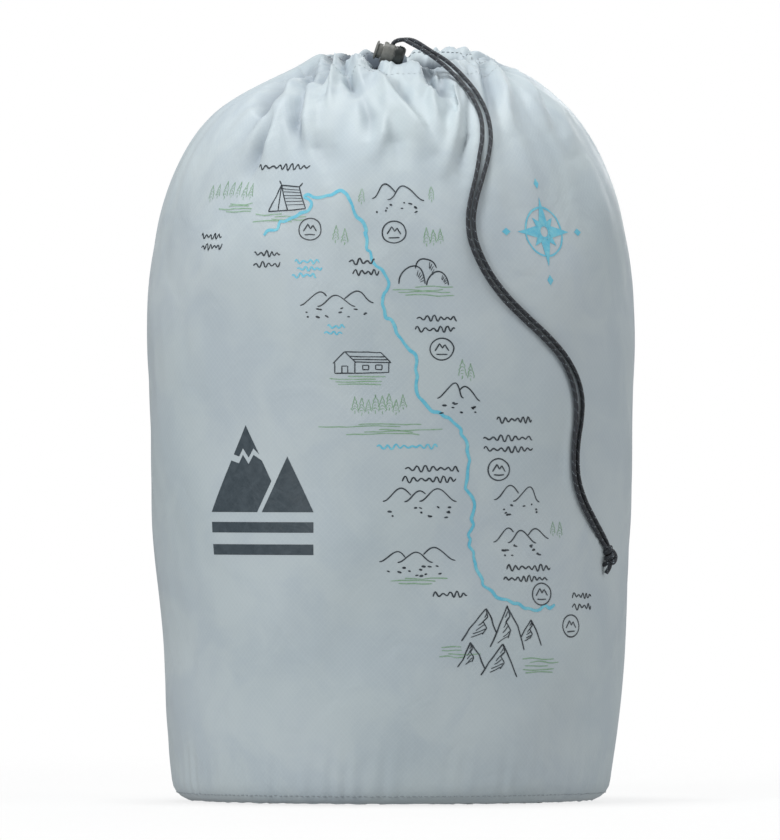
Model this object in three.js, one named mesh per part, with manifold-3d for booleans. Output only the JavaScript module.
// A drawcord stuff sack, standing full, with its mouth cinched shut. Millimetres, +Z up.
// The origin is the centre of the round base, on the surface that the sack stands on. The
// front, with the cord lock and the hanging cord tails, faces -Y, and +X is on the right.

import * as THREE from 'three';
import { mergeVertices } from 'three/addons/utils/BufferGeometryUtils.js';
import Module from 'manifold-3d';

const wasm = await Module();
wasm.setup();

// ---- Driving dimensions ----

const GAP = 0.3; // left between pieces that touch
const WALL = 1.1; // sack wall, with the fullness of its folds

const BASE_RADIUS = 98; // flat round base
const BASE_FILLET = 11; // curve from the base up into the side
const BODY_RADIUS = 121.5; // widest, a little above half height
const BODY_WIDEST_AT = 230;
const SHOULDER_RADIUS = 91; // where the side turns in towards the mouth
const SHOULDER_AT = 340;
const MOUTH_RADIUS = 44.5; // crest of the gathered rim
const MOUTH_AT = 372.3;
const HEM_RADIUS = 42.2; // inside of the rim, where the gathered cloth turns down
const HEM_DEPTH = 10.3;
const MOUTH_SHIFT = 8; // the mouth closes a little to the right of the middle
const MOUTH_SLOPE = Math.tan(THREE.MathUtils.degToRad(5)); // and leans towards the front

const CHANNEL_RADIUS = 38; // drawcord channel, a hollow ring open at the front
const CHANNEL_AT = 360;
const CHANNEL_HEIGHT = 12;
const CHANNEL_WIDTH = 5.5;
const CHANNEL_WALL = 1;
const CHANNEL_FROM = THREE.MathUtils.degToRad(6); // angles from straight ahead, to the right
const CHANNEL_TO = THREE.MathUtils.degToRad(329.5);

const CORD_DIAMETER = 2.5;
const CORD_RADIUS = CORD_DIAMETER / 2;
const STRAND_GAP = 2.8; // between the centres of the two strands in the lock
const CORD_SIDES = 8;

const LOCK_CENTRE = new THREE.Vector3(0, -33, 372);
const LOCK_TILT = THREE.MathUtils.degToRad(18); // right end down
const LOCK_RADIUS = 5.75;
const LOCK_BORE = 4.1;
const LOCK_OPEN_END = -4.6; // along the lock, from its centre
const LOCK_CLOSED_END = 6.6;
const LOCK_BORE_END = 5.6;
const SLOT_HALF_WIDTH = 2.95; // cord hole, across the two strands
const SLOT_PINCH = 0.55; // plunger wall that holds the cord
const SLOT_FAR = -2.55; // barrel wall that the cord is held against
const PLUNGER_TRAVEL = 2.4;
const PLUNGER_RADIUS = 3.8;
const PLUNGER_HEAD_RADIUS = 4.8;
const CORD_IN_LOCK = -1; // where the strands pass, along the lock

const KNOT_WIDTH = 7;
const KNOT_HEIGHT = 10.5;

// ---- Shared geometry ----

const deg = THREE.MathUtils.degToRad;
const p2 = (r, z) => new THREE.Vector2(r, z);
const p3 = (x, y, z) => new THREE.Vector3(x, y, z);

// Leaves only positions, with shared vertices merged.
function weld(geometry) {
  geometry.deleteAttribute('normal');
  geometry.deleteAttribute('uv');
  return mergeVertices(geometry, 1e-4);
}

function toSolid(geometry) {
  const welded = weld(geometry);
  return new wasm.Manifold(new wasm.Mesh({
    numProp: 3,
    vertProperties: new Float32Array(welded.attributes.position.array),
    triVerts: new Uint32Array(welded.index.array),
  }));
}

function fromSolid(solid) {
  const mesh = solid.getMesh();
  const geometry = new THREE.BufferGeometry();
  geometry.setAttribute('position', new THREE.BufferAttribute(mesh.vertProperties, 3));
  geometry.setIndex(new THREE.BufferAttribute(mesh.triVerts, 1));
  return geometry;
}

// Turns a (radius, height) profile about +Z.
function turn(profile, segments) {
  return weld(new THREE.LatheGeometry(profile, segments).rotateX(Math.PI / 2));
}

function roundSection(radius, sides) {
  const corners = [];
  for (let i = 0; i < sides; i += 1) {
    const angle = (2 * Math.PI * i) / sides;
    corners.push(p2(radius * Math.cos(angle), radius * Math.sin(angle)));
  }
  return new THREE.Shape(corners);
}

function sweep(section, path, steps) {
  return weld(new THREE.ExtrudeGeometry(section, { extrudePath: path, steps }));
}

// Moves a profile's points along its outward normal, which is to the right of its direction.
function offset(profile, distance) {
  return profile.map((point, i) => {
    const before = profile[Math.max(i - 1, 0)];
    const after = profile[Math.min(i + 1, profile.length - 1)];
    const along = after.clone().sub(before).normalize();
    return p2(point.x + along.y * distance, point.y - along.x * distance);
  });
}

// ---- The filled sack's outline, from the edge of the base up to the rim ----

function sackOutline() {
  const fillet = new THREE.EllipseCurve(
    BASE_RADIUS + 0.5, BASE_FILLET, BASE_FILLET, BASE_FILLET, -Math.PI / 2, 0);
  const side = new THREE.CubicBezierCurve(
    p2(BASE_RADIUS + 0.5 + BASE_FILLET, BASE_FILLET), p2(114.5, 50),
    p2(BODY_RADIUS, 150), p2(BODY_RADIUS, BODY_WIDEST_AT));
  const shoulder = new THREE.CubicBezierCurve(
    p2(BODY_RADIUS, BODY_WIDEST_AT), p2(BODY_RADIUS, 285),
    p2(111, 320), p2(SHOULDER_RADIUS, SHOULDER_AT));
  const roof = new THREE.CubicBezierCurve(
    p2(SHOULDER_RADIUS, SHOULDER_AT), p2(80, 352),
    p2(60, 364), p2(52, MOUTH_AT - 4.3));
  return [
    ...fillet.getPoints(5).slice(0, -1),
    ...side.getPoints(7).slice(0, -1),
    ...shoulder.getPoints(6).slice(0, -1),
    ...roof.getPoints(5),
  ];
}

const outline = sackOutline();

// The share of the mouth's shift and lean that a point this far from the middle takes.
function gatherShare(radius) {
  return 1 - THREE.MathUtils.smoothstep(radius, 52, 90);
}

// Shifts and leans the cloth around the mouth; the lower half of the sack stays upright.
function gather(geometry) {
  const place = geometry.attributes.position;
  for (let i = 0; i < place.count; i += 1) {
    const [x, y, z] = [place.getX(i), place.getY(i), place.getZ(i)];
    const share = z > BODY_WIDEST_AT ? gatherShare(Math.hypot(x, y)) : 0;
    place.setXYZ(i, x + MOUTH_SHIFT * share, y, z + MOUTH_SLOPE * y * share);
  }
  return geometry;
}

function radiusAt(profile, z) {
  const above = Math.max(profile.findIndex((point) => point.y > z), 1);
  const [low, high] = [profile[above - 1], profile[above]];
  return THREE.MathUtils.mapLinear(z, low.y, high.y, low.x, high.x);
}

// A point in front of the sack's cloth at (x, z), standing off it by a small distance.
function onFront(x, z, standoff) {
  const profile = offset(outline, standoff);
  let y = -BODY_RADIUS;
  for (let pass = 0; pass < 12; pass += 1) {
    const share = z > BODY_WIDEST_AT ? gatherShare(Math.hypot(x, y)) : 0;
    const radius = radiusAt(profile, z - MOUTH_SLOPE * y * share);
    const across = x - MOUTH_SHIFT * share;
    y = -Math.sqrt(Math.max(radius * radius - across * across, 0));
  }
  return p3(x, y, z);
}

// A point on a ring around the mouth, at an angle from straight ahead.
function aroundMouth(radius, angle, height) {
  const y = -radius * Math.cos(angle);
  return p3(MOUTH_SHIFT + radius * Math.sin(angle), y, height + MOUTH_SLOPE * y);
}

// A point in the cord lock's frame: along the lock, across it, and along the cord.
function inLock(along, across, up) {
  return p3(along, across, up).applyAxisAngle(p3(0, 1, 0), LOCK_TILT).add(LOCK_CENTRE);
}

// ---- Fabric pieces ----

const SEGMENTS = 40;
const FACET_DIP = BODY_RADIUS * (1 - Math.cos(Math.PI / SEGMENTS)); // wall's flats, inwards

function bodyPanel() {
  const rim = [
    p2(47, MOUTH_AT - 1.5), p2(MOUTH_RADIUS, MOUTH_AT),
    p2(HEM_RADIUS + 0.5, MOUTH_AT - 1), p2(HEM_RADIUS, MOUTH_AT - 2.8),
    p2(HEM_RADIUS, MOUTH_AT - HEM_DEPTH), p2(HEM_RADIUS + WALL, MOUTH_AT - HEM_DEPTH),
    p2(HEM_RADIUS + WALL, MOUTH_AT - 2.8), p2(MOUTH_RADIUS + 0.4, MOUTH_AT - WALL),
    p2(46.6, MOUTH_AT - 2.6),
  ];
  const inside = offset(outline, -WALL).reverse();
  return gather(turn([...outline, ...rim, ...inside, outline[0].clone()], SEGMENTS));
}

function basePanel() {
  const radius = BASE_RADIUS + 0.5 - GAP;
  return turn([p2(0, 0), p2(radius, 0), p2(radius, WALL), p2(0, WALL)], SEGMENTS);
}

// The bound seam allowance stands up inside, round the edge of the base.
function baseSeamBinding() {
  const [inner, outer] = [BASE_RADIUS - 1, BASE_RADIUS + 0.6];
  const [low, high] = [WALL + 2 * GAP, 9];
  return turn(
    [p2(inner, low), p2(outer, low), p2(outer, high), p2(inner, high), p2(inner, low)],
    SEGMENTS);
}

// The tape over the back seam, cut as a narrow strip out of a full lining ring.
function backSeamTape() {
  const width = 14;
  const thickness = 0.8;
  const covered = outline.filter((point) => point.y > BASE_FILLET && point.y < SHOULDER_AT + 5);
  const inset = WALL + FACET_DIP + GAP;
  const face = offset(covered, -inset);
  const back = offset(covered, -inset - thickness).reverse();
  const ring = turn([...face, ...back, face[0].clone()], SEGMENTS * 3);
  const strip = new THREE.BoxGeometry(width, BODY_RADIUS, 2 * MOUTH_AT);
  strip.translate(0, 1.2 * BODY_RADIUS, 0);
  return gather(fromSolid(toSolid(ring).intersect(toSolid(strip))));
}

// A small blank label that hangs beside the back seam, against the wall.
function careLabel() {
  const [width, height, top] = [26, 40, 290];
  const label = new THREE.BoxGeometry(width, 0.6, height);
  label.translate(0, radiusAt(outline, top) - 4, top - height / 2);
  return weld(label.rotateZ(deg(-12)));
}

function drawcordChannel() {
  const half = { x: CHANNEL_HEIGHT / 2, y: CHANNEL_WIDTH / 2 };
  const rectangle = (cut) => [
    p2(-half.x + cut, -half.y + cut), p2(half.x - cut, -half.y + cut),
    p2(half.x - cut, half.y - cut), p2(-half.x + cut, half.y - cut)];
  const section = new THREE.Shape(rectangle(0));
  section.holes.push(new THREE.Path(rectangle(CHANNEL_WALL).reverse()));
  const points = [];
  const parts = 24;
  for (let i = 0; i <= parts; i += 1) {
    const angle = THREE.MathUtils.lerp(CHANNEL_FROM, CHANNEL_TO, i / parts);
    points.push(aroundMouth(CHANNEL_RADIUS, angle, CHANNEL_AT));
  }
  return sweep(section, new THREE.CatmullRomCurve3(points), 40);
}

// A bar of close stitches across each end of the channel, on its inner face.
function bartack(angle) {
  const tack = new THREE.BoxGeometry(1.6, 0.8, CHANNEL_HEIGHT - 2);
  const radius = CHANNEL_RADIUS - CHANNEL_WIDTH / 2 - GAP - 0.5;
  const place = aroundMouth(radius, angle, CHANNEL_AT);
  return weld(tack.rotateZ(angle).translate(place.x, place.y, place.z));
}

// ---- Drawcord ----

// The cord in the channel. Both ends turn up through the opening and into the lock.
function drawcordLoop() {
  const end = PLUNGER_RADIUS - GAP;
  const straight = -11; // height below the lock's centre where the strands start to turn
  const front = -STRAND_GAP / 2;
  const rear = STRAND_GAP / 2;
  const points = [
    inLock(CORD_IN_LOCK, front, end),
    inLock(CORD_IN_LOCK, front, -4),
    inLock(CORD_IN_LOCK, front, straight),
    inLock(CORD_IN_LOCK + 1.1, front - 0.6, straight - 3.4),
  ];
  for (let angle = -6; angle <= 330; angle += 14) {
    points.push(aroundMouth(CHANNEL_RADIUS, deg(angle), CHANNEL_AT));
  }
  points.push(
    aroundMouth(CHANNEL_RADIUS - 0.8, deg(336), CHANNEL_AT + 0.2),
    inLock(CORD_IN_LOCK - 0.9, rear + 0.1, straight - 2.8),
    inLock(CORD_IN_LOCK, rear, straight),
    inLock(CORD_IN_LOCK, rear, -4),
    inLock(CORD_IN_LOCK, rear, end),
  );
  return sweep(roundSection(CORD_RADIUS, CORD_SIDES), new THREE.CatmullRomCurve3(points), 76);
}

// The tails' route down the front: across, height, and the distance between the strands.
const TAIL_ROUTE = [
  [34.5, 360, 2.9], [42, 350, 3.1], [46.2, 340, 3.5], [47.2, 330, 4.3], [45.8, 320, 4.4],
  [43.6, 310, 3.5], [41, 300, 3.1], [39.4, 290, 2.9], [40.2, 280, 2.9], [43.8, 270, 2.8],
  [49.3, 260, 2.8], [57, 250, 2.8], [67, 240, 2.8], [77.6, 230, 2.8], [86, 220, 2.8],
  [91, 210, 3.2], [93.2, 200, 3.3], [93.1, 190, 2.7], [91.9, 180, 2.2], [91.4, 170, 2],
  [92.2, 160, 2.1], [95.2, 150, 2.3], [100.2, 140, 2.3], [106, 129.4, 1.9],
];
const TAIL_STANDOFF = CORD_RADIUS + 0.45;

// One strand, from the lock over the rim and down the front: side is -1 for the front
// strand, which ends up on the left, and 1 for the rear one.
function tailPoints(side) {
  const half = (side * STRAND_GAP) / 2;
  const points = [
    inLock(CORD_IN_LOCK, half, PLUNGER_RADIUS),
    inLock(CORD_IN_LOCK + 0.8, half, PLUNGER_RADIUS + 2.7),
    inLock(CORD_IN_LOCK + 4, 1.2 * half - 0.3, PLUNGER_RADIUS + 4.9),
    p3(10.4 + 0.5 * half, -37.6 + 1.2 * half, 378.2 + 0.5 * half),
    p3(19.2 + 0.3 * half, -42.9 + 1.2 * half, 372.9 + 0.6 * half),
    p3(27.1 + 0.6 * half, -48 + 0.9 * half, 367.3 + 0.7 * half),
  ];
  TAIL_ROUTE.forEach(([x, z, apart], i) => {
    const [fromX, fromZ] = TAIL_ROUTE[Math.max(i - 1, 0)];
    const [toX, toZ] = TAIL_ROUTE[Math.min(i + 1, TAIL_ROUTE.length - 1)];
    const across = p2(fromZ - toZ, toX - fromX).normalize();
    const shift = (side * apart) / 2;
    points.push(onFront(x + across.x * shift, z + across.y * shift, TAIL_STANDOFF));
  });
  return points;
}

function cordTail(side) {
  const path = new THREE.CatmullRomCurve3(tailPoints(side));
  return sweep(roundSection(CORD_RADIUS, CORD_SIDES), path, 48);
}

const knotCentre = onFront(108.4, 123, KNOT_WIDTH / 2 + GAP);

function cordKnot() {
  const ball = new THREE.SphereGeometry(0.5, 10, 8).rotateX(Math.PI / 2);
  ball.scale(KNOT_WIDTH, KNOT_WIDTH, KNOT_HEIGHT);
  return weld(ball.rotateY(deg(-20)).translate(knotCentre.x, knotCentre.y, knotCentre.z));
}

// A short cut end under the knot, on its left (-1) or right (1).
function cordEnd(side) {
  const outward = p3(knotCentre.x, knotCentre.y, 0).normalize();
  const around = p3(-outward.y, outward.x, 0);
  const from = knotCentre.clone().add(p3(0, 0, -KNOT_HEIGHT / 2 - 2 * GAP));
  from.addScaledVector(around, -1.2 + 1.4 * side);
  const to = from.clone().add(p3(0, 0, -3.4 + 0.6 * side));
  to.addScaledVector(around, -1.6 + 0.5 * side).addScaledVector(outward, 0.8);
  const path = new THREE.LineCurve3(from, to);
  return sweep(roundSection(CORD_RADIUS - 0.1, CORD_SIDES), path, 1);
}

// ---- Cord lock, along local X with the push button at -X ----

function alongLock(profile, segments) {
  return new THREE.LatheGeometry(profile, segments).rotateZ(-Math.PI / 2);
}

function cutSlot(geometry, from, to) {
  const slot = new THREE.BoxGeometry(to - from, 2 * SLOT_HALF_WIDTH, 4 * LOCK_RADIUS);
  slot.translate((from + to) / 2, 0, 0);
  return fromSolid(toSolid(geometry).subtract(toSolid(slot)));
}

function cordLockBarrel() {
  const profile = [
    p2(0, LOCK_BORE_END), p2(LOCK_BORE, LOCK_BORE_END), p2(LOCK_BORE, LOCK_OPEN_END),
    p2(LOCK_RADIUS - 0.5, LOCK_OPEN_END), p2(LOCK_RADIUS, LOCK_OPEN_END + 0.6),
    p2(LOCK_RADIUS, LOCK_CLOSED_END - 1), p2(LOCK_RADIUS - 0.9, LOCK_CLOSED_END),
    p2(0, LOCK_CLOSED_END),
  ];
  return cutSlot(alongLock(profile, 24), SLOT_FAR, SLOT_PINCH + PLUNGER_TRAVEL);
}

function cordLockPlunger() {
  const headBack = LOCK_OPEN_END - PLUNGER_TRAVEL - 0.2;
  const head = headBack - 1.4;
  const wall = SLOT_PINCH + 0.8;
  const end = 3;
  const cup = 2.9; // radius of the cup that the spring sits in
  const profile = [
    p2(0, head), p2(3.2, head), p2(4.4, head + 0.4), p2(PLUNGER_HEAD_RADIUS, head + 0.9),
    p2(PLUNGER_HEAD_RADIUS, headBack), p2(PLUNGER_RADIUS, headBack),
    p2(PLUNGER_RADIUS, end), p2(cup, end), p2(cup, wall), p2(0, wall),
  ];
  return cutSlot(alongLock(profile, 24), SLOT_FAR - PLUNGER_TRAVEL, SLOT_PINCH);
}

class Coil extends THREE.Curve {
  constructor(radius, from, to, turns) {
    super();
    Object.assign(this, { radius, from, to, turns });
  }

  getPoint(t, target = new THREE.Vector3()) {
    const angle = 2 * Math.PI * this.turns * t;
    const along = THREE.MathUtils.lerp(this.from, this.to, t);
    return target.set(along, this.radius * Math.cos(angle), this.radius * Math.sin(angle));
  }
}

function cordLockSpring() {
  const wire = 0.4;
  const from = SLOT_PINCH + 0.8 + GAP + wire / 2;
  const to = LOCK_BORE_END - GAP - wire / 2;
  return sweep(roundSection(wire / 2, 6), new Coil(2.35, from, to, 3), 42);
}

// ---- Assembly ----

const finishes = {
  fabric: { color: 0xb4bec2, roughness: 0.62 },
  base: { color: 0xa2adb2, roughness: 0.66 },
  tape: { color: 0x8f9a9f, roughness: 0.7 },
  label: { color: 0xe3e4e2, roughness: 0.75 },
  thread: { color: 0x9aa5aa, roughness: 0.8 },
  cord: { color: 0x2b343c, roughness: 0.85 },
  barrel: { color: 0x343b3b, roughness: 0.5 },
  button: { color: 0x5c6263, roughness: 0.5 },
  spring: { color: 0x9b9c9e, roughness: 0.3, metalness: 1 },
};

function piece(name, geometry, finish) {
  const material = new THREE.MeshStandardMaterial({ metalness: 0, ...finishes[finish] });
  const mesh = new THREE.Mesh(geometry, material);
  mesh.name = name;
  return mesh;
}

const cordLock = new THREE.Group();
cordLock.position.copy(LOCK_CENTRE);
cordLock.rotation.y = LOCK_TILT;
cordLock.add(
  piece('cord_lock_barrel', cordLockBarrel(), 'barrel'),
  piece('cord_lock_plunger', cordLockPlunger(), 'button'),
  piece('cord_lock_spring', cordLockSpring(), 'spring'),
);

const stuffSack = new THREE.Group();
stuffSack.add(
  piece('body_panel', bodyPanel(), 'fabric'),
  piece('base_panel', basePanel(), 'base'),
  piece('base_seam_binding', baseSeamBinding(), 'tape'),
  piece('back_seam_tape', backSeamTape(), 'tape'),
  piece('care_label', careLabel(), 'label'),
  piece('drawcord_channel', drawcordChannel(), 'fabric'),
  piece('channel_bartack_right', bartack(CHANNEL_FROM + deg(3)), 'thread'),
  piece('channel_bartack_left', bartack(CHANNEL_TO - deg(3)), 'thread'),
  piece('drawcord_loop', drawcordLoop(), 'cord'),
  piece('cord_tail_front', cordTail(-1), 'cord'),
  piece('cord_tail_rear', cordTail(1), 'cord'),
  piece('cord_knot', cordKnot(), 'cord'),
  piece('cord_end_left', cordEnd(-1), 'cord'),
  piece('cord_end_right', cordEnd(1), 'cord'),
  cordLock,
);

export default stuffSack;
